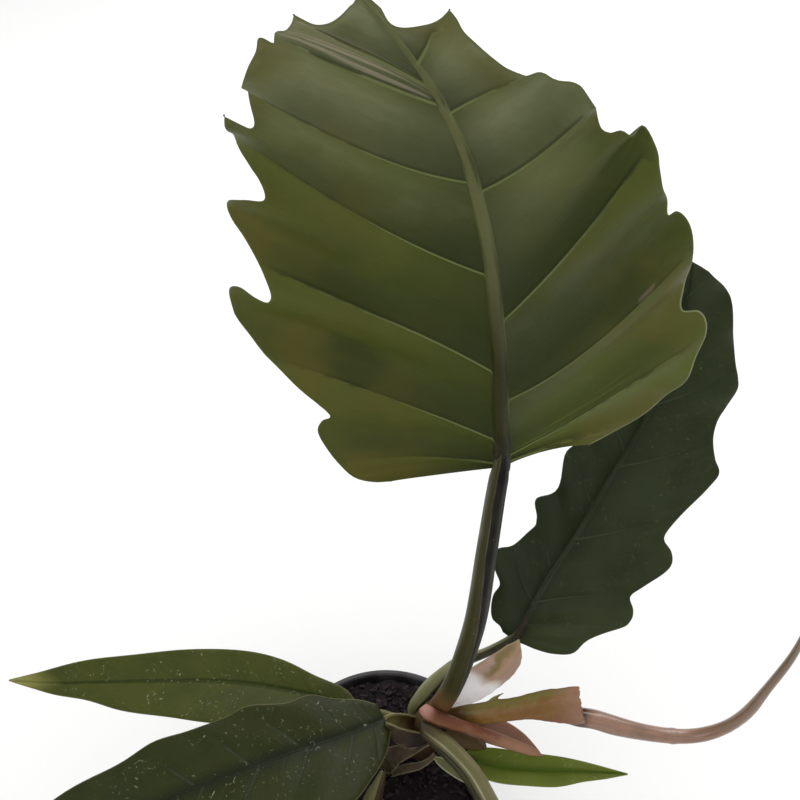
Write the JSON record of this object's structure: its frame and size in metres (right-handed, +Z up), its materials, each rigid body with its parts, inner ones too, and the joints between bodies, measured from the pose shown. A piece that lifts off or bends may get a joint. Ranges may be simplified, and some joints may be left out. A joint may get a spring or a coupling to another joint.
{
  "type": "potted plant",
  "caption": "Small potted philodendron: broad toothed leaves on bare stalks, pale bracts and a rolled new leaf at the crown, in a plain black nursery pot.",
  "frame": {"origin": "centre of the pot's underside, on the ground", "axes": "+Z up along the pot's axis; +Y away from the viewer of the picture; +X to the viewer's right"},
  "size_m": [0.3801, 0.3285, 0.4806],
  "materials": {
    "pot": "thin black plastic, softly glossy",
    "soil": "dark damp bark and peat mix",
    "leaf_green": "dark olive green leaf blade, waxy",
    "leaf_dark": "very dark green leaf blade, waxy",
    "leaf_bright": "bright yellow-green leaf blade, waxy",
    "petiole": "smooth olive leaf stalk with a purple-brown side",
    "stem": "olive-brown stem",
    "pink_sheath": "fleshy pink-brown bract",
    "pale_sheath": "thin pale translucent bract",
    "olive_sheath": "olive bract, red-brown below",
    "dried_sheath": "dried papery greyish-brown bract",
    "rolled_leaf": "glossy pink-brown rolled leaf"
  },
  "bodies": {
    "root": {"boat_bract": "pale_sheath", "curled_sheath": "olive_sheath", "dried_sheath_1": "dried_sheath", "dried_sheath_2": "dried_sheath", "leaf_1": "leaf_green", "leaf_2": "leaf_dark", "leaf_3": "leaf_dark", "leaf_4": "leaf_bright", "leaf_5": "leaf_bright", "leaf_6": "leaf_green", "olive_bract": "olive_sheath", "petiole_1": "petiole", "petiole_2": "petiole", "petiole_3": "petiole", "petiole_4": "petiole", "petiole_5": "petiole", "petiole_6": "petiole", "petiole_sheath": "olive_sheath", "pot": "pot", "rolled_leaf": "rolled_leaf", "soil": "soil", "stem": "stem", "strap_back": "pink_sheath", "strap_front": "pink_sheath", "stub": "petiole", "torn_sheath": "olive_sheath"}
  },
  "joints": []
}
